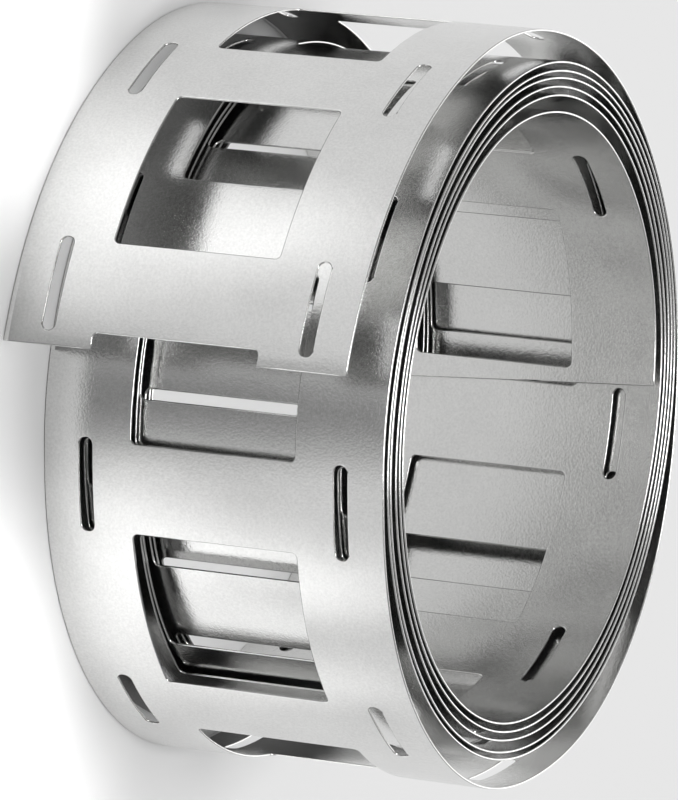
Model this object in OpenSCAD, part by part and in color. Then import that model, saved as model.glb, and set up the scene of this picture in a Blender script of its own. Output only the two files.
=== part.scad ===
// Loose coil of punched nickel strip, a ladder of cross bars between two side rails.
// The strip is one piece. It is drawn in its rolled shape, from the free outer end inwards.

/* [Strip] */
// Width of the strip across both rails
strip_w = 27; // [22:0.5:34]
// Thickness of the sheet
strip_t = 0.15; // [0.1:0.01:0.3]
// Distance from one cross bar to the next
cell_pitch = 20.25; // [17:0.25:24]
// Number of whole cells along the strip
cells = 50; // [30:1:70]
// Length of a cross bar along the strip
bar_l = 6.75; // [5:0.25:8]
// Rail that is left past the first bar, at the free end
stub_l = 1.2; // [0.6:0.1:4]
// Part of a bar that is left past the last window, at the inner end
end_band_l = 1; // [0.5:0.1:4]

/* [Punched holes] */
// Width of a window across the strip
window_w = 13; // [9:0.5:15]
// Radius of a window's corners
window_corner_r = 0.4; // [0.2:0.1:1.5]
// Distance across the strip between the two slots of a bar
slot_spacing = 20.25; // [17:0.25:22]
// Length of a weld slot along the strip
slot_l = 7; // [5:0.25:9]
// Width of a weld slot
slot_w = 1; // [0.6:0.1:1.6]

/* [Coil] */
// Distance from the coil's middle to the first snug turn, at the front
snug_r = 26.15; // [22:0.05:32]
// Gap between one snug turn and the next, on average
turn_gap = 0.5; // [0.2:0.05:1]
// How far the loose turn stands off the snug turns at the back
loose_back_gap = 0.5; // [0.3:0.05:2]
// How far the loose turn hangs below the snug turns' centre
loose_drop = 1.35; // [0.5:0.05:4]
// Inner radius of the lifted flap at the free end
flap_r = 30.35; // [28:0.05:34]
// Angle of the free end above the coil's front
flap_angle = 22; // [5:1:60]
// How much tighter than a snug turn the inner end starts, and how much wider it springs out
inner_curl = 0.55; // [0.2:0.05:1]

/* [Hidden] */
$fn = 180;
// Radial room on each side of the sheet for a punch
punch_reach = 2;

// The turns are wound by hand, so each gap is its own share of the average one
front_gaps = [1.4, 0.5, 1.5, 0.9, 0.7];
back_gaps = [0.8, 0.9, 1, 1.1, 1.2];
function gap_sum(gaps, k) = k == 0 ? 0 : gap_sum(gaps, k - 1) + turn_gap * gaps[(k - 1) % len(gaps)];

// Rounds a length or an angle to a hundredth, so that runs and holes meet cleanly
function snap(x) = round(x * 100) / 100;

// Distance from the coil's middle to the sheet's inner face, where half turn j starts. Even half
// turns start at the front and odd ones at the back, half a turn further in.
function place(j) =
    j % 2 == 0 ? snap(snug_r - j / 2 * strip_t - gap_sum(front_gaps, j / 2))
               : snap(snug_r - j / 2 * strip_t - turn_gap / 2 - gap_sum(back_gaps, (j - 1) / 2));
function side(j) = j % 2 == 0 ? -1 : 1;
function snug_half_r(j) = (place(j) + place(j + 1)) / 2;
function snug_half_x(j) = side(j) * (place(j) - place(j + 1)) / 2;

// Places of the sheet's inner face where the loose turn joins the snug ones
front_x = place(0);
back_x = place(1) + strip_t + loose_back_gap;
loose_r = (front_x + back_x) / 2;
loose_x = (back_x - front_x) / 2;

// Lengths are measured along the middle of the sheet
mid_t = strip_t / 2;
function arc_len(r, angle) = (r + mid_t) * angle * PI / 180;
function arc_angle(r, len) = len / (r + mid_t) * 180 / PI;
window_l = cell_pitch - bar_l;
strip_len = stub_l + cells * cell_pitch + end_band_l;
flap_len = arc_len(flap_r, 180 - flap_angle);
loose_len = arc_len(loose_r, 180);
snug_start = flap_len + loose_len + loose_drop;

// Whole half turns that fit in a length, counted inwards from half turn j
function whole_halves(len, j = 0) =
    len < arc_len(snug_half_r(j), 180) ? j : whole_halves(len - arc_len(snug_half_r(j), 180), j + 1);
function snug_s(j) = j == 0 ? snug_start : snug_s(j - 1) + arc_len(snug_half_r(j - 1), 180);
// The curled inner end is a quarter turn long or more
halves = whole_halves(strip_len - snug_start - arc_len(snug_r, 90));
inner_s = snug_s(halves);
curl_r = snap(snug_half_r(halves) - inner_curl);
curl_len = arc_len(curl_r, 90);
spring_r = 2 * snug_half_r(halves) - curl_r;
inner_x = side(halves) * (place(halves) - curl_r);
spring_y = side(halves) * (spring_r - curl_r);

// One run of strip: start along the strip, length, centre, inner radius and start angle from the
// front. A straight run has no radius, and its centre is the foot of its inner face.
function run(s, len, x, y, r, from) = [s, len, x, y, r, from];
function run_s(p) = p[0];
function run_len(p) = p[1];
function run_x(p) = p[2];
function run_y(p) = p[3];
function run_r(p) = p[4];
function run_from(p) = p[5];
function run_holds(p, s) = s >= run_s(p) && s < run_s(p) + run_len(p);
function run_touches(p, from, to) = to > run_s(p) && from < run_s(p) + run_len(p);

runs = concat(
    [run(0, flap_len, back_x - flap_r, -loose_drop, flap_r, flap_angle),
     run(flap_len, loose_len, loose_x, -loose_drop, loose_r, 180),
     run(flap_len + loose_len, loose_drop, -front_x, -loose_drop, 0, 0)],
    [for (j = [0 : halves - 1])
        run(snug_s(j), arc_len(snug_half_r(j), 180), snug_half_x(j), 0, snug_half_r(j), j % 2 * 180)],
    [run(inner_s, curl_len, inner_x, 0, curl_r, halves % 2 * 180),
     run(inner_s + curl_len, strip_len - inner_s - curl_len, inner_x, spring_y, spring_r,
         halves % 2 * 180 + 90)]);

// Middle of the coil's box, which stands above the origin
flap_front = back_x - flap_r - (flap_r + strip_t) * cos(flap_angle);
mid_x = (flap_front + back_x + strip_t) / 2;
mid_y = (flap_r - loose_r) / 2 - loose_drop;

// Chord across a curved run whose arc has the given length
function chord(len, r) = r == 0 ? len : snap(2 * (r + mid_t) * sin(len / (r + mid_t) * 90 / PI));

// The bare sheet along one run
module sheet(p) {
    if (run_r(p) == 0)
        translate([run_x(p) - strip_t, run_y(p), -strip_w / 2])
            cube([strip_t, run_len(p), strip_w]);
    else {
        sweep = snap(arc_angle(run_r(p), run_len(p)));
        translate([run_x(p), run_y(p), -strip_w / 2])
            rotate_extrude(angle = sweep, start = 180 - run_from(p) - sweep)
                translate([run_r(p), 0])
                    square([strip_t, strip_w]);
    }
}

// Moves a punch from the origin to the middle of the sheet, at length s along the strip
module on_strip(p, s) {
    if (run_r(p) == 0)
        translate([run_x(p) - mid_t, run_y(p) + s - run_s(p), 0])
            rotate(180)
                children();
    else
        translate([run_x(p), run_y(p), 0])
            rotate(180 - run_from(p) - arc_angle(run_r(p), s - run_s(p)))
                translate([run_r(p) + mid_t, 0, 0])
                    children();
}

// A punch is a flat outline, across and along the strip, pushed through the sheet
module punch() {
    rotate([0, 90, 0])
        linear_extrude(2 * punch_reach, center = true)
            children();
}

module window_outline(len) {
    square([window_w - 2 * window_corner_r, len], center = true);
    square([window_w, len - 2 * window_corner_r], center = true);
    for (x = [-1, 1], y = [-1, 1])
        translate([x * (window_w / 2 - window_corner_r), y * (len / 2 - window_corner_r)])
            circle(window_corner_r);
}

module slot_outline(len) {
    square([slot_w, len - slot_w], center = true);
    for (y = [-1, 1])
        translate([0, y * (len - slot_w) / 2])
            circle(slot_w / 2);
}

// The window between bar k and the next one, and the pair of slots in bar k
module window_punch(s) {
    for (p = runs)
        if (run_holds(p, s))
            on_strip(p, s) punch() window_outline(chord(window_l, run_r(p)));
}

module slot_punches(s) {
    for (p = runs)
        if (run_holds(p, s))
            for (side = [-1, 1])
                on_strip(p, s)
                    punch()
                        translate([side * slot_spacing / 2, 0])
                            slot_outline(chord(slot_l, run_r(p)));
}

// The notch between the two rail stubs at the free end is what is left of a window cut through
module end_notch() {
    on_strip(runs[0], stub_l - window_l / 2)
        punch()
            window_outline(chord(window_l, flap_r));
}

// One run of the sheet with every hole that reaches it
module punched(p) {
    difference() {
        sheet(p);
        for (k = [0 : cells - 1]) {
            bar_mid = stub_l + k * cell_pitch + bar_l / 2;
            window_mid = bar_mid + cell_pitch / 2;
            if (run_touches(p, bar_mid - slot_l / 2, bar_mid + slot_l / 2))
                slot_punches(bar_mid);
            if (run_touches(p, window_mid - window_l / 2, window_mid + window_l / 2))
                window_punch(window_mid);
        }
        if (run_s(p) == 0)
            end_notch();
    }
}

module nickel_strip() {
    color([0.72, 0.72, 0.71])
        translate([mid_y, -mid_x, strip_w / 2])
            rotate(90)
                for (p = runs)
                    punched(p);
}

nickel_strip();
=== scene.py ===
# %% [markdown]
# A loose coil of punched nickel strip, the kind that is welded across rows of round cells.
# The imported model gives the frame: metres, Z up, the coil standing on its end, and the free outer
# end towards the front (-Y). Nothing made here may grow past it.

# %% Load the imported coil
import math

import bmesh
import bpy
import numpy as np
from mathutils import Matrix, Vector


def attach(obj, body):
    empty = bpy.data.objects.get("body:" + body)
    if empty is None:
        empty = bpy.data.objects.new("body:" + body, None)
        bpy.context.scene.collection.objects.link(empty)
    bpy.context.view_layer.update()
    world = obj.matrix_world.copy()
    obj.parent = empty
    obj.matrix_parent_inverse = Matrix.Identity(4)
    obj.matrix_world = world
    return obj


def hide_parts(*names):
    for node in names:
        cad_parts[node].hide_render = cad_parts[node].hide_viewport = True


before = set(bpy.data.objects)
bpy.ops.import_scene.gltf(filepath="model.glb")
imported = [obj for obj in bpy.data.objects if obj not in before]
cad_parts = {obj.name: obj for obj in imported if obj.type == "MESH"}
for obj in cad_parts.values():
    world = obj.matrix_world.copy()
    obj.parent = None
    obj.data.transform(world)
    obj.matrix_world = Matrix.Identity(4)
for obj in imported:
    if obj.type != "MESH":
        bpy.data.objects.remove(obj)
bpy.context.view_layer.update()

# %% [markdown]
# The camera comes first, so that every later render can be set against the photograph. The coil
# stands on its end here and lay on its side in the photograph, so the camera is rolled by about a
# quarter turn. Its angles, distance and lens were fitted to corners of the punched windows. A longer
# lens from further away would show less perspective; this one keeps what was measured.

# %% Camera
MM = 0.001
PHOTO_SIZE = (678, 800)
FOCAL_PX = 7231.8
CAMERA_DISTANCE = 537.0 * MM
LOOK_DOWN = math.radians(25.079)
LOOK_ASIDE = math.radians(15.339)
CAMERA_ROLL = math.radians(96.22)
COIL_CENTRE = Vector((0.67, 2.77, 13.5)) * MM
COIL_CENTRE_PX = (370.8, 397.4)
SENSOR = 36.0


def photo_camera():
    look = Vector((math.sin(LOOK_ASIDE) * math.cos(LOOK_DOWN),
                   math.cos(LOOK_ASIDE) * math.cos(LOOK_DOWN), -math.sin(LOOK_DOWN)))
    level_right = look.cross(Vector((0, 0, 1))).normalized()
    level_up = level_right.cross(look)
    right = level_right * math.cos(CAMERA_ROLL) + level_up * math.sin(CAMERA_ROLL)
    up = right.cross(look)
    per_px = CAMERA_DISTANCE / FOCAL_PX
    aside = (COIL_CENTRE_PX[0] - PHOTO_SIZE[0] / 2) * per_px
    above = (PHOTO_SIZE[1] / 2 - COIL_CENTRE_PX[1]) * per_px
    stand = COIL_CENTRE - look * CAMERA_DISTANCE - right * aside - up * above
    data = bpy.data.cameras.new("photo_camera")
    data.sensor_width = SENSOR
    data.lens = FOCAL_PX * SENSOR / max(PHOTO_SIZE)
    data.clip_start, data.clip_end = 0.01, 10.0
    camera = bpy.data.objects.new("photo_camera", data)
    turn = Matrix((right, up, -look)).transposed()
    camera.matrix_world = Matrix.Translation(stand) @ turn.to_4x4()
    bpy.context.scene.collection.objects.link(camera)
    bpy.context.scene.camera = camera
    return camera


camera = photo_camera()
bpy.context.scene.view_settings.view_transform = "Standard"
print("camera at", [round(c, 4) for c in camera.location], "lens", round(camera.data.lens, 1))

# %% [markdown]
# The strip is a ladder: two side rails, a cross bar for each pair of cells, a window between the
# bars and two weld slots in each bar. One rung of the ladder, from the middle of a window to the
# middle of the next, repeats along the whole strip. Booleans on a bent sheet would give ragged
# shading, so the rung is drawn flat, with its rounded corners, and bent afterwards.

# %% Flat sizes of the strip, in millimetres
STRIP_W, STRIP_T = 27.0, 0.15
PITCH, CELLS = 20.25, 50
BAR_L, STUB_L, END_BAND_L = 6.75, 1.2, 1.0
WINDOW_W, WINDOW_R = 13.0, 0.4
SLOT_SPACING, SLOT_L, SLOT_W = 20.25, 7.0, 1.0
STRIP_LEN = STUB_L + CELLS * PITCH + END_BAND_L
print("strip length", STRIP_LEN, "mm")

# %% Outlines of one rung and of a slot
CORNER_STEPS, SLOT_END_STEPS = 6, 10


def arc(centre, radius, start, stop, steps):
    """Points on an arc, angles in degrees."""
    turns = np.radians(np.linspace(start, stop, steps + 1))
    return [(centre[0] + radius * math.cos(a), centre[1] + radius * math.sin(a)) for a in turns]


def rung_outline():
    """The H shape of one rung, along the strip first, counter-clockwise."""
    end, edge, rail, bar, r = PITCH / 2, STRIP_W / 2, WINDOW_W / 2, BAR_L / 2, WINDOW_R
    points = [(-end, -edge), (end, -edge), (end, -rail)]
    points += arc((bar + r, r - rail), r, 270, 180, CORNER_STEPS)
    points += arc((bar + r, rail - r), r, 180, 90, CORNER_STEPS)
    points += [(end, rail), (end, edge), (-end, edge), (-end, rail)]
    points += arc((-bar - r, rail - r), r, 90, 0, CORNER_STEPS)
    points += arc((-bar - r, r - rail), r, 0, -90, CORNER_STEPS)
    return points + [(-end, -rail)]


def slot_outline(across):
    half, r = SLOT_L / 2 - SLOT_W / 2, SLOT_W / 2
    return (arc((half, across), r, -90, 90, SLOT_END_STEPS)
            + arc((-half, across), r, 90, 270, SLOT_END_STEPS))


print("outlines of", len(rung_outline()), "and", len(slot_outline(0)), "points")

# %% [markdown]
# A flat outline can be filled in one go, but the faces it gives are long slivers that can't bend.
# So the filled rung is cut across in even rows, which become the facets of the curve, and along at
# a few places so that the faces stay compact.

# %% One flat rung, cut into rows that can bend
BEND_STEPS, CUT_SNAP = 20, 1e-5
# Places of the cuts along the strip: one in each rail, and two across the bar
ROWS_ACROSS = (-8.3, -2.2, 2.2, 8.3)


def cut(flat, at, normal, **clear):
    geometry = flat.verts[:] + flat.edges[:] + flat.faces[:]
    bmesh.ops.bisect_plane(flat, geom=geometry, dist=CUT_SNAP, plane_co=at, plane_no=normal, **clear)


def add_loop(flat, points):
    verts = [flat.verts.new((s, u, 0)) for s, u in points]
    for a, b in zip(verts, verts[1:] + verts[:1]):
        flat.edges.new((a, b))


def flat_rung(with_slots):
    flat = bmesh.new()
    add_loop(flat, rung_outline())
    if with_slots:
        add_loop(flat, slot_outline(-SLOT_SPACING / 2))
        add_loop(flat, slot_outline(SLOT_SPACING / 2))
    bmesh.ops.triangle_fill(flat, use_beauty=True, edges=flat.edges[:], normal=(0, 0, 1))
    for s in np.linspace(-PITCH / 2, PITCH / 2, BEND_STEPS + 1)[1:-1]:
        cut(flat, (s, 0, 0), (1, 0, 0))
    for u in ROWS_ACROSS:
        cut(flat, (0, u, 0), (0, 1, 0))
    bmesh.ops.recalc_face_normals(flat, faces=flat.faces[:])
    if flat.faces[:][0].normal.z < 0:
        bmesh.ops.reverse_faces(flat, faces=flat.faces[:])
    flat.verts.index_update()
    points = np.array([v.co for v in flat.verts])
    faces = [[v.index for v in f.verts] for f in flat.faces]
    flat.free()
    return points, faces


rung = flat_rung(True)
last_rung = flat_rung(False)
print("one rung has", len(rung[0]), "points and", len(rung[1]), "faces")

# %% [markdown]
# The rungs are set one after another, joined, and trimmed at both ends. The trim at the free end
# goes through a window, which leaves the two rail stubs; the trim at the inner end leaves a narrow
# band of a bar. Hand shears cut that end a little askew, so it isn't quite square.

# %% The whole strip, still flat
END_LONGER, END_SKEW, JOIN = 0.6, 0.06, 1e-4


def flat_strip():
    points, faces = [], []
    for k in range(CELLS + 1):
        rung_points, rung_faces = rung if k < CELLS else last_rung
        first = sum(len(p) for p in points)
        points.append(rung_points + (STUB_L + BAR_L / 2 + k * PITCH, 0, 0))
        faces += [[first + i for i in face] for face in rung_faces]
    sheet = bpy.data.meshes.new("flat_strip")
    sheet.from_pydata(np.concatenate(points).tolist(), [], faces)
    flat = bmesh.new()
    flat.from_mesh(sheet)
    bpy.data.meshes.remove(sheet)
    bmesh.ops.remove_doubles(flat, verts=flat.verts[:], dist=JOIN)
    cut(flat, (0, 0, 0), (1, 0, 0), clear_inner=True)
    cut(flat, (STRIP_LEN + END_LONGER, 0, 0), (1, END_SKEW, 0), clear_outer=True)
    flat.verts.index_update()
    return flat


flat = flat_strip()
print("flat strip", len(flat.verts), "points,", len(flat.faces), "faces")

# %% [markdown]
# The coil's path is a chain of arcs, as in the part's source: the lifted flap at the free end, the
# loose outer turn, then half turns that step inwards by hand-wound, uneven gaps, and an inner end
# that curls in and springs back out. A spiral formula would be shorter, but the arcs keep this mesh
# on the solid.

# %% Path of the coil, in millimetres
SNUG_R, TURN_GAP, LOOSE_BACK_GAP, LOOSE_DROP = 26.15, 0.5, 0.5, 1.35
FLAP_R, FLAP_ANGLE, INNER_CURL = 30.35, 22.0, 0.55
FRONT_GAPS = [1.4, 0.5, 1.5, 0.9, 0.7]
BACK_GAPS = [0.8, 0.9, 1.0, 1.1, 1.2]
HALF_TURNS = 10
MID_T = STRIP_T / 2


def place(j):
    """Distance from the coil's middle to the sheet's inner face where half turn j starts."""
    if j % 2 == 0:
        gaps = FRONT_GAPS[:j // 2]
        return round(SNUG_R - j / 2 * STRIP_T - TURN_GAP * sum(gaps), 2)
    gaps = BACK_GAPS[:(j - 1) // 2]
    return round(SNUG_R - j / 2 * STRIP_T - TURN_GAP / 2 - TURN_GAP * sum(gaps), 2)


def half_turn(r):
    """Length of half a turn, along the middle of the sheet."""
    return (r + MID_T) * math.pi


def coil_runs():
    """Each run: length, centre x, centre y, inner radius, start angle from the front."""
    front_x, back_x = place(0), place(1) + STRIP_T + LOOSE_BACK_GAP
    loose_r = (front_x + back_x) / 2
    flap_len = (FLAP_R + MID_T) * math.radians(180 - FLAP_ANGLE)
    runs = [(flap_len, back_x - FLAP_R, -LOOSE_DROP, FLAP_R, FLAP_ANGLE),
            (half_turn(loose_r), (back_x - front_x) / 2, -LOOSE_DROP, loose_r, 180),
            (LOOSE_DROP, -front_x, -LOOSE_DROP, 0, 0)]
    for j in range(HALF_TURNS):
        r, side = (place(j) + place(j + 1)) / 2, -1 if j % 2 == 0 else 1
        runs.append((half_turn(r), side * (place(j) - place(j + 1)) / 2, 0, r, j % 2 * 180))
    last_r = (place(HALF_TURNS) + place(HALF_TURNS + 1)) / 2
    curl_r = round(last_r - INNER_CURL, 2)
    spring_r = 2 * last_r - curl_r
    inner_x = curl_r - place(HALF_TURNS)
    runs.append((half_turn(curl_r) / 2, inner_x, 0, curl_r, 0))
    runs.append((STRIP_LEN, inner_x, curl_r - spring_r, spring_r, 90))
    return np.array(runs, float)


runs = coil_runs()
run_starts = np.concatenate([[0], np.cumsum(runs[:-1, 0])])
loose_r = runs[1, 3]
back_x = runs[0, 1] + FLAP_R
flap_front = back_x - FLAP_R - (FLAP_R + STRIP_T) * math.cos(math.radians(FLAP_ANGLE))
MID_X = (flap_front + back_x + STRIP_T) / 2
MID_Y = (FLAP_R - loose_r) / 2 - LOOSE_DROP
print(len(runs), "runs, the last starts at", round(run_starts[-1], 1), "mm of", STRIP_LEN)

# %% [markdown]
# Real strip isn't a perfect spiral. The stiff bars stay a little flatter than the windows' rails,
# the turns wander by a few hundredths, and the shear that cut the ends pressed their last
# millimetre down. These lifts are smaller than the gaps between the turns, so none touch, but they
# break up the reflections as on the real metal. The loose turn also bellies out a little between its
# back and its lowest side, the inner turns sit a little higher than the outer ones, and the inner end
# springs off the turn behind it, into the bore, which leaves a thin dark gap there. The whole strip
# settles inwards by as much as it wanders, so that it stays inside the solid's box. A Displace
# modifier could add the wander, but a formula keeps both faces of the thin sheet in step.

# %% Bending the flat strip onto the path
BAR_FLATNESS, WANDER, SHEAR_DIP, SHEAR_REACH = 0.02, 0.03, 0.06, 0.9
BELLY, BELLY_SHARE, INNER_RISE = 0.6, 0.53, 0.32
SLOW_ALONG, SLOW_ACROSS, SLOW_TWIST, SLOW_SHIFT = 7.3, 9.0, 31.0, 0.4
QUICK_ALONG, QUICK_ACROSS, QUICK_SHARE = 3.1, 6.1, 0.6
SETTLE = BAR_FLATNESS + (1 + QUICK_SHARE) * WANDER
END_SPRING, END_SPRING_REACH = 0.7, 18.0
LOOSE_START, LOOSE_END = run_starts[1], run_starts[2]
SNUG_START = run_starts[3]


def lift(s, u):
    """How far the strip stands off its path, in millimetres, outwards."""
    bars = -BAR_FLATNESS * np.cos(2 * math.pi * (s - STUB_L - BAR_L / 2) / PITCH)
    slow = np.sin(s / SLOW_ALONG + SLOW_SHIFT) * np.cos(u / SLOW_ACROSS + s / SLOW_TWIST)
    quick = np.sin(s / QUICK_ALONG + u / QUICK_ACROSS)
    wander = WANDER * (slow + QUICK_SHARE * quick)
    ends = np.minimum(s, STRIP_LEN - s)
    dip = -SHEAR_DIP * np.clip(1 - ends / SHEAR_REACH, 0, 1) ** 2
    round_loose = np.clip((s - LOOSE_START) / (LOOSE_END - LOOSE_START) / BELLY_SHARE, 0, 1)
    spring = -END_SPRING * np.clip(1 - (STRIP_LEN - s) / END_SPRING_REACH, 0, 1) ** 2
    return bars + wander - SETTLE + dip + spring + BELLY * np.sin(math.pi * round_loose) ** 2


def on_coil(s, u, off):
    """Points of the bent strip in metres, off its middle by off millimetres."""
    k = np.clip(np.searchsorted(run_starts, s, side="right") - 1, 0, len(runs) - 1)
    _, x, y, r, start = runs[k].T
    along, out = s - run_starts[k], off + lift(s, u)
    turn = math.pi - np.radians(start) - along / (r + MID_T)
    straight = r == 0
    draw_x = np.where(straight, x - MID_T - out, x + (r + MID_T + out) * np.cos(turn))
    draw_y = np.where(straight, y + along, y + (r + MID_T + out) * np.sin(turn))
    draw_y = draw_y + INNER_RISE * np.clip((s - SNUG_START) / (STRIP_LEN - SNUG_START), 0, 1)
    return np.stack([MID_Y - draw_y, draw_x - MID_X, u + STRIP_W / 2], axis=-1) * MM


def unit(v):
    return v / np.linalg.norm(v, axis=-1, keepdims=True)


def axes_on_coil(s, u):
    """Directions along the strip, across it and out of it."""
    tiny = 0.02
    along = on_coil(s + tiny, u, 0) - on_coil(s - tiny, u, 0)
    across = on_coil(s, u + tiny, 0) - on_coil(s, u - tiny, 0)
    out = np.cross(across, along)
    return unit(along), unit(across), unit(out)


free_end = on_coil(np.zeros(1), np.zeros(1), 0)[0]
print("free end at", [round(float(c), 4) for c in free_end], "m")

# %% [markdown]
# The sheet gets its thickness here: an outer and an inner face, a wall round every hole and edge,
# and a narrow rounded lip between face and wall, as a punch leaves it. A Solidify and a Bevel
# modifier could do it, but the normals are known exactly from the path, so they are written into the
# mesh and the thin lips shade as smooth, bright lines.

# %% Rim of every hole and edge
def rim_edges(flat, points):
    """Edges with sheet on one side only, the points on them, and the way off the sheet there."""
    rim = np.array([(e.link_loops[0].vert.index, e.link_loops[0].link_loop_next.vert.index)
                    for e in flat.edges if len(e.link_faces) == 1])
    step = points[rim[:, 1]] - points[rim[:, 0]]
    side = unit(np.stack([step[:, 1], -step[:, 0]], axis=1))
    outward = np.zeros_like(points)
    np.add.at(outward, rim[:, 0], side)
    np.add.at(outward, rim[:, 1], side)
    on_rim = np.unique(rim)
    outward[on_rim] = unit(outward[on_rim])
    return rim, on_rim, outward


flat_points = np.array([v.co[:2] for v in flat.verts])
flat_faces = [[v.index for v in f.verts] for f in flat.faces]
rim, on_rim, outward = rim_edges(flat, flat_points)
flat.free()
print("rim of", len(rim), "edges")

# %% Faces, walls and rounded lips
FACE_METAL, EDGE_METAL = 0, 1
LIP_WIDE, LIP_DEEP = 0.11, 0.055
# Steps of a lip: share of its width and of its depth, and how far its normal leans to the wall
LIP_STEPS = [(1.0, 0.0, 0.0), (0.36, 0.27, 0.6), (0.0, 1.0, 1.0)]


def lip_rings(points, out, wall):
    """Rings of points round every rim, from the outer face to the inner one, and their normals."""
    rings, leans = [], []
    for facing, steps in ((1, LIP_STEPS), (-1, LIP_STEPS[::-1])):
        for inset, down, lean in steps:
            s, u = (points - outward * LIP_WIDE * inset)[on_rim].T
            rings.append(on_coil(s, u, facing * (MID_T - LIP_DEEP * down)))
            leans.append(unit(facing * (1 - lean) * out[on_rim] + lean * wall[on_rim]))
    return rings, leans


def strip_mesh(points, faces):
    """Points, faces, corner normals and metals of the bent sheet, and the points' flat places."""
    along, across, out = axes_on_coil(*points.T)
    wall = outward[:, :1] * along + outward[:, 1:] * across
    rings, leans = lip_rings(points, out, wall)
    faced = points - outward * LIP_WIDE
    layers = [on_coil(*faced.T, MID_T), on_coil(*faced.T, -MID_T)] + rings[1:-1]
    flat_of = [points, points] + [points[on_rim]] * len(rings[1:-1])
    count, rims = len(points), len(on_rim)
    rows = [2 * count + rims * k + np.arange(rims) for k in range(len(rings[1:-1]))]
    rows = [on_rim] + rows + [count + on_rim]

    polygons, normals, metals = [], [], []
    for face in faces:
        outer_face = face[::-1]
        polygons += [outer_face, [count + i for i in face]]
        normals += [out[i] for i in outer_face] + [-out[i] for i in face]
        metals += [FACE_METAL, FACE_METAL]
    for a, b in np.searchsorted(on_rim, rim):
        for row, next_row, lean, next_lean in zip(rows, rows[1:], leans, leans[1:]):
            polygons.append([row[a], row[b], next_row[b], next_row[a]])
            normals += [lean[a], lean[b], next_lean[b], next_lean[a]]
            metals.append(EDGE_METAL)
    return np.concatenate(layers), polygons, normals, metals, np.concatenate(flat_of)


bent = strip_mesh(flat_points, flat_faces)
print("bent sheet of", len(bent[0]), "points and", len(bent[1]), "faces")

# %% [markdown]
# The points and faces become one mesh object. Every corner keeps its place on the flat strip as a
# UV, so that fine rolling lines can follow the strip round the coil. Unwrapping the bent mesh could
# give the same, but the flat places are known already.

# %% The strip as one piece
def make_strip(verts, polygons, normals, metals, flat_of):
    mesh = bpy.data.meshes.new("nickel_strip_coil")
    mesh.from_pydata(verts.tolist(), [], [[int(i) for i in p] for p in polygons])
    mesh.polygons.foreach_set("material_index", metals)
    mesh.polygons.foreach_set("use_smooth", [True] * len(metals))
    strip_uv = mesh.uv_layers.new(name="along_strip")
    corner_verts = np.zeros(len(mesh.loops), int)
    mesh.loops.foreach_get("vertex_index", corner_verts)
    strip_uv.data.foreach_set("uv", (flat_of[corner_verts] / STRIP_W).ravel())
    mesh.update()
    mesh.normals_split_custom_set([tuple(n) for n in normals])
    piece = bpy.data.objects.new("nickel_strip_coil", mesh)
    bpy.context.scene.collection.objects.link(piece)
    return piece


coil = make_strip(*bent)
coil.data.calc_loop_triangles()
print("coil", len(coil.data.vertices), "points,", len(coil.data.loop_triangles), "triangles")

# %% [markdown]
# The strip is rolled, plated and punched. Its faces are satin with a fine even grain and faint
# lines along the rolling direction. The grain is shared by faces and cut edges, so it is one node
# group that each material places with its own size.

# %% Node helpers and the shared grain
NOISE_LOW, NOISE_HIGH, CLOUDS_PER_METRE = 0.3, 0.7, 160.0


def new_group(name, inputs, outputs):
    tree = bpy.data.node_groups.new(name, "ShaderNodeTree")
    for label, value in inputs:
        socket = tree.interface.new_socket(label, in_out="INPUT", socket_type="NodeSocketFloat")
        socket.default_value = value
    for label in outputs:
        tree.interface.new_socket(label, in_out="OUTPUT", socket_type="NodeSocketFloat")
    return tree, tree.nodes.new("NodeGroupInput"), tree.nodes.new("NodeGroupOutput")


def noise(tree, vector, scale, detail=2.0, rough=0.5):
    node = tree.nodes.new("ShaderNodeTexNoise")
    node.inputs["Detail"].default_value = detail
    node.inputs["Roughness"].default_value = rough
    tree.links.new(vector, node.inputs["Vector"])
    if isinstance(scale, (int, float)):
        node.inputs["Scale"].default_value = scale
    else:
        tree.links.new(scale, node.inputs["Scale"])
    return node.outputs["Fac"]


def spread(tree, value, low, high):
    """Maps noise about its middle to a range from low to high."""
    node = tree.nodes.new("ShaderNodeMapRange")
    ends = {"From Min": NOISE_LOW, "From Max": NOISE_HIGH, "To Min": low, "To Max": high}
    for socket, number in ends.items():
        node.inputs[socket].default_value = number
    tree.links.new(value, node.inputs["Value"])
    return node.outputs["Result"]


def combine(tree, how, a, b):
    node = tree.nodes.new("ShaderNodeMath")
    node.operation = how
    for socket, value in zip(node.inputs, (a, b)):
        if isinstance(value, (int, float)):
            socket.default_value = value
        else:
            tree.links.new(value, socket)
    return node.outputs["Value"]


def grain_group():
    tree, given, out = new_group("rolled_grain", [("Grains per metre", 5000.0)], ["Grain", "Cloud"])
    space = tree.nodes.new("ShaderNodeTexCoord").outputs["Object"]
    fine = noise(tree, space, given.outputs["Grains per metre"], detail=3.0, rough=0.6)
    tree.links.new(fine, out.inputs["Grain"])
    cloud = noise(tree, space, CLOUDS_PER_METRE, detail=3.0, rough=0.55)
    tree.links.new(cloud, out.inputs["Cloud"])
    return tree


grain = grain_group()
print("group", grain.name, [s.name for s in grain.interface.items_tree])

# %% [markdown]
# Rolled nickel is a plain bright metal, so the shader is a metallic Principled with a little
# roughness. What makes it look real is small: the grain lifts and dulls it, slow clouds change its
# tone, and fine lines run along the strip. The punched edges are fresh metal, brighter and finer.

# %% Nickel faces and cut edges
PIT_TONE, PEAK_TONE = 0.84, 1.08
CLOUD_SHARE, GRAIN_SHARE, LINE_SHARE = 0.35, 0.65, 0.06


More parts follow.
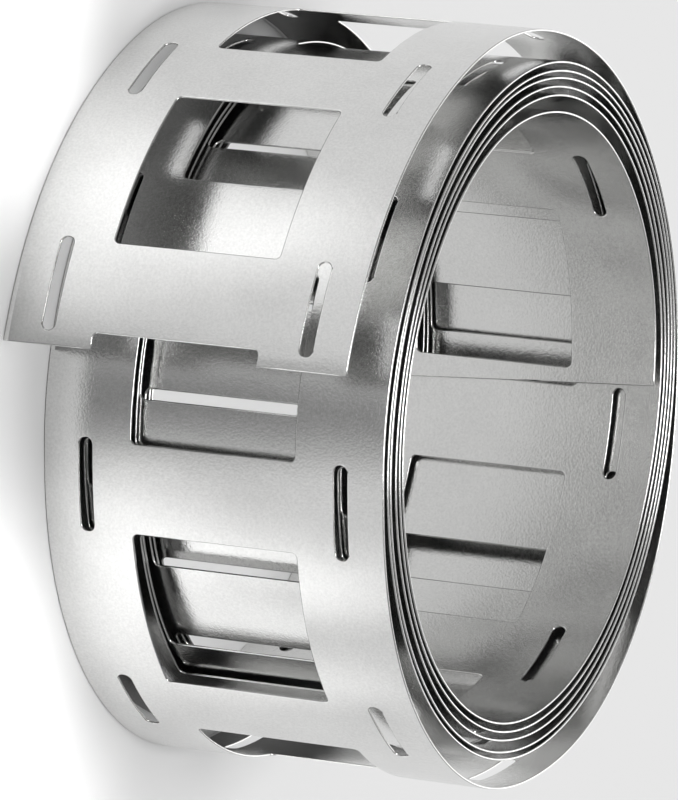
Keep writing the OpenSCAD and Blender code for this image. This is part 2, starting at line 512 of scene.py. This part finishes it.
def metal_tone(tree, effect, colour):
    """Slow clouds and fine pits, between a darker and a lighter tone of the metal."""
    tone = tree.nodes.new("ShaderNodeMix")
    tone.data_type = "RGBA"
    tone.inputs["A"].default_value = (*[c * PIT_TONE for c in colour], 1)
    tone.inputs["B"].default_value = (*[c * PEAK_TONE for c in colour], 1)
    mottle = combine(tree, "MULTIPLY", spread(tree, effect.outputs["Cloud"], 0.0, 1.0), CLOUD_SHARE)
    pits = combine(tree, "MULTIPLY", spread(tree, effect.outputs["Grain"], 0.0, 1.0), GRAIN_SHARE)
    tree.links.new(combine(tree, "ADD", mottle, pits), tone.inputs["Factor"])
    return tone.outputs["Result"]


def metal_height(tree, effect, lines):
    """The grain, with faint rolling lines along the strip."""
    uv = tree.nodes.new("ShaderNodeUVMap")
    uv.uv_map = "along_strip"
    stretch = tree.nodes.new("ShaderNodeMapping")
    stretch.inputs["Scale"].default_value = lines
    tree.links.new(uv.outputs["UV"], stretch.inputs["Vector"])
    rolling = noise(tree, stretch.outputs["Vector"], scale=1.0)
    faint_lines = combine(tree, "MULTIPLY", rolling, LINE_SHARE)
    return combine(tree, "ADD", effect.outputs["Grain"], faint_lines)


def metal(name, colour, rough, rough_swing, grains, bump_height, lines):
    material = bpy.data.materials.new(name)
    material.use_nodes = True
    tree = material.node_tree
    shader = tree.nodes["Principled BSDF"]
    shader.inputs["Metallic"].default_value = 1.0
    effect = tree.nodes.new("ShaderNodeGroup")
    effect.node_tree = grain
    effect.inputs["Grains per metre"].default_value = grains
    tree.links.new(metal_tone(tree, effect, colour), shader.inputs["Base Color"])
    wear = spread(tree, effect.outputs["Cloud"], rough - rough_swing, rough + rough_swing)
    speck = spread(tree, effect.outputs["Grain"], -rough_swing, rough_swing)
    tree.links.new(combine(tree, "ADD", wear, speck), shader.inputs["Roughness"])
    bump = tree.nodes.new("ShaderNodeBump")
    bump.inputs["Strength"].default_value = 1.0
    bump.inputs["Distance"].default_value = bump_height
    tree.links.new(metal_height(tree, effect, lines), bump.inputs["Height"])
    tree.links.new(bump.outputs["Normal"], shader.inputs["Normal"])
    return material


FACE_COLOUR, EDGE_COLOUR = (0.79, 0.79, 0.782), (0.88, 0.88, 0.87)
coil.data.materials.append(metal("nickel_face", FACE_COLOUR, rough=0.17, rough_swing=0.03,
                                 grains=5400.0, bump_height=13e-6, lines=(6, 260, 1)))
coil.data.materials.append(metal("nickel_cut_edge", EDGE_COLOUR, rough=0.2, rough_swing=0.04,
                                 grains=8000.0, bump_height=3e-6, lines=(900, 900, 1)))
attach(coil, "root")
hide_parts("nickel_strip")
print("materials", [m.name for m in coil.data.materials])

# %% [markdown]
# A plain pale floor, wide enough that no view sees its end. The standing coil mirrors the floor
# round it, so the floor's own light and shade make most of the tones on the metal.

# %% Floor
FLOOR_SIZE, FLOOR_ROUGHNESS = 3.0, 0.9
FLOOR_COLOUR = (0.93, 0.93, 0.93)


def matte(name, colour, rough):
    material = bpy.data.materials.new(name)
    material.use_nodes = True
    shader = material.node_tree.nodes["Principled BSDF"]
    shader.inputs["Base Color"].default_value = (*colour, 1)
    shader.inputs["Roughness"].default_value = rough
    shader.inputs["Specular IOR Level"].default_value = 0.0
    return material


def make_floor():
    mesh = bpy.data.meshes.new("floor")
    half = FLOOR_SIZE / 2
    corners = [(-half, -half, 0), (half, -half, 0), (half, half, 0), (-half, half, 0)]
    mesh.from_pydata(corners, [], [(0, 1, 2, 3)])
    mesh.materials.append(matte("pale_floor", FLOOR_COLOUR, FLOOR_ROUGHNESS))
    floor = bpy.data.objects.new("floor", mesh)
    bpy.context.scene.collection.objects.link(floor)
    return floor


floor = make_floor()
print(floor.name, FLOOR_SIZE, "m wide")

# %% [markdown]
# Plain studio light: a soft box overhead, an even bright room, and a dim soft box behind that draws
# the bright line along the upper rims. Photographers light shiny metal by what it mirrors. Low strip
# lamps brighten the lines of floor that the coil mirrors at its two white bands. The grey between
# them is painted shade: a dark card that only reflections see darkens the metal's mirror image of the
# floor there. Lamps that shine on the metal itself would only give small hard glints.

# %% Lamps
def softbox(name, at, aim, size, power, grid=180):
    data = bpy.data.lights.new(name, "AREA")
    data.shape, data.size, data.size_y, data.energy = "RECTANGLE", size[0], size[1], power
    data.spread = math.radians(grid)
    lamp = bpy.data.objects.new(name, data)
    lamp.location = at
    lamp.rotation_euler = (Vector(aim) - Vector(at)).to_track_quat("-Z", "Y").to_euler()
    bpy.context.scene.collection.objects.link(lamp)
    return lamp


# Radius of the coil's wall, then the lamps' distance from it, height, length and beam angle
WALL_R, LAMP_OUT, LAMP_HIGH, LAMP_LONG, LAMP_GRID = 0.029, 0.027, 0.07, 0.05, 22


def floor_strip(name, facing, wide, power):
    """A low lamp over the line of floor that the coil's side at this angle mirrors to the camera."""
    wall, line = math.radians(facing), 2 * math.radians(facing) - LOOK_ASIDE
    x = -WALL_R * math.sin(wall) - LAMP_OUT * math.sin(line)
    y = -WALL_R * math.cos(wall) - LAMP_OUT * math.cos(line)
    lamp = softbox(name, (x, y, LAMP_HIGH), (x, y, 0), (wide, LAMP_LONG), power, LAMP_GRID)
    lamp.rotation_euler = (0, 0, math.pi - line)
    lamp.visible_camera = False


AIM, ROOM_LIGHT = (0, 0, 0.01), 0.3
softbox("overhead_softbox", (0, 0, 0.7), AIM, size=(0.3, 0.3), power=2.6)
softbox("back_softbox", (0.15, 0.6, 0.28), AIM, size=(0.5, 0.3), power=0.6)
floor_strip("left_strip", facing=41, wide=0.020, power=0.0023)
floor_strip("right_strip", facing=-16, wide=0.014, power=0.0035)
floor_strip("right_side_strip", facing=-36, wide=0.010, power=0.0012)
world = bpy.data.worlds.new("studio")
bpy.context.scene.world = world
world.use_nodes = True
room = world.node_tree.nodes["Background"]
room.inputs["Color"].default_value = (1, 1, 1, 1)
room.inputs["Strength"].default_value = ROOM_LIGHT

# %% [markdown]
# A sector of dark card on the floor in front of the coil, fading out to both sides, paints shade
# into the metal's reflections. A real card would stand just outside the picture; this one lies on the
# floor, hidden from the camera and from shadows, so that every view keeps the plain floor. A ring of
# the same card under the turns paints shade into the deep gaps between them, as seen in reflections.

# %% Painted shade card, seen only in reflections
SHADE_CARD_FROM, SHADE_CARD_TO, SHADE_CARD_STEPS = -13, 31, 24
SHADE_CARD_NEAR, SHADE_CARD_FAR, SHADE_CARD_UP = 0.0285, 0.11, 0.0004
# Painted shade: colour of the dark card, its strength, its fade to the sides and its darkest place
SHADE_CARD_COLOUR, SHADE_CARD_STRENGTH, SHADE_CARD_FADE, SHADE_CARD_DARKEST = (0.04, 0.04, 0.04), 0.68, 1.6, 0.5
# Ring of painted shade under the turns, for the gaps between them
GAP_SHADE_INNER, GAP_SHADE_STEPS = 0.0235, 96


def ladder(near, far, first):
    """Points and faces of a band between two rows of points."""
    points = [tuple(p) for pair in zip(near, far) for p in pair]
    return points, [tuple(first + 2 * k + i for i in (0, 1, 3, 2)) for k in range(len(near) - 1)]


def shade_card_mesh():
    turns = np.radians(np.linspace(SHADE_CARD_FROM, SHADE_CARD_TO, SHADE_CARD_STEPS + 1))
    spokes = np.stack([-np.sin(turns), -np.cos(turns), 0 * turns], axis=1)
    lift_up = np.array((0, 0, SHADE_CARD_UP))
    sector, sector_faces = ladder(spokes * SHADE_CARD_NEAR + lift_up, spokes * SHADE_CARD_FAR + lift_up, 0)
    # The ring: painted shade under the turns, seen in reflections in the gaps between them
    around = np.linspace(0, LOOSE_END, GAP_SHADE_STEPS + 1)
    outer = on_coil(around, np.full_like(around, -STRIP_W / 2), 0) * (1, 1, 0)
    middle = np.array((MID_Y, -MID_X, 0)) * MM
    inner = middle + unit(outer - middle) * GAP_SHADE_INNER
    gap_shade, gap_shade_faces = ladder(inner + lift_up, outer + lift_up, len(sector))
    mesh = bpy.data.meshes.new("mirrored_shade_card")
    mesh.from_pydata(sector + gap_shade, [], sector_faces + gap_shade_faces)
    across = mesh.uv_layers.new(name="across")
    for loop in mesh.loops:
        step = loop.vertex_index // 2 / SHADE_CARD_STEPS
        across.data[loop.index].uv = (step if loop.vertex_index < len(sector) else SHADE_CARD_DARKEST, 0)
    return mesh


# Painted shade: the card's opacity fades out from the middle to both sides of the sector
def shade_card_material():
    material = matte("mirrored_shade_card", SHADE_CARD_COLOUR, rough=1.0)
    tree = material.node_tree
    uv = tree.nodes.new("ShaderNodeUVMap")
    uv.uv_map = "across"
    split = tree.nodes.new("ShaderNodeSeparateXYZ")
    tree.links.new(uv.outputs["UV"], split.inputs["Vector"])
    wave = combine(tree, "SINE", combine(tree, "MULTIPLY", split.outputs["X"], math.pi), 0.0)
    shade_alpha = combine(tree, "MULTIPLY", combine(tree, "POWER", wave, SHADE_CARD_FADE), SHADE_CARD_STRENGTH)
    tree.links.new(shade_alpha, tree.nodes["Principled BSDF"].inputs["Alpha"])
    return material


# Only reflections see the card, so it paints shade into the metal's image of the floor
shade_card = bpy.data.objects.new("mirrored_shade_card", shade_card_mesh())
shade_card.data.materials.append(shade_card_material())
bpy.context.scene.collection.objects.link(shade_card)
shade_card.visible_camera = False
shade_card.visible_diffuse = False
shade_card.visible_transmission = False
shade_card.visible_volume_scatter = False
shade_card.visible_shadow = False
print("flag from", SHADE_CARD_FROM, "to", SHADE_CARD_TO, "degrees")
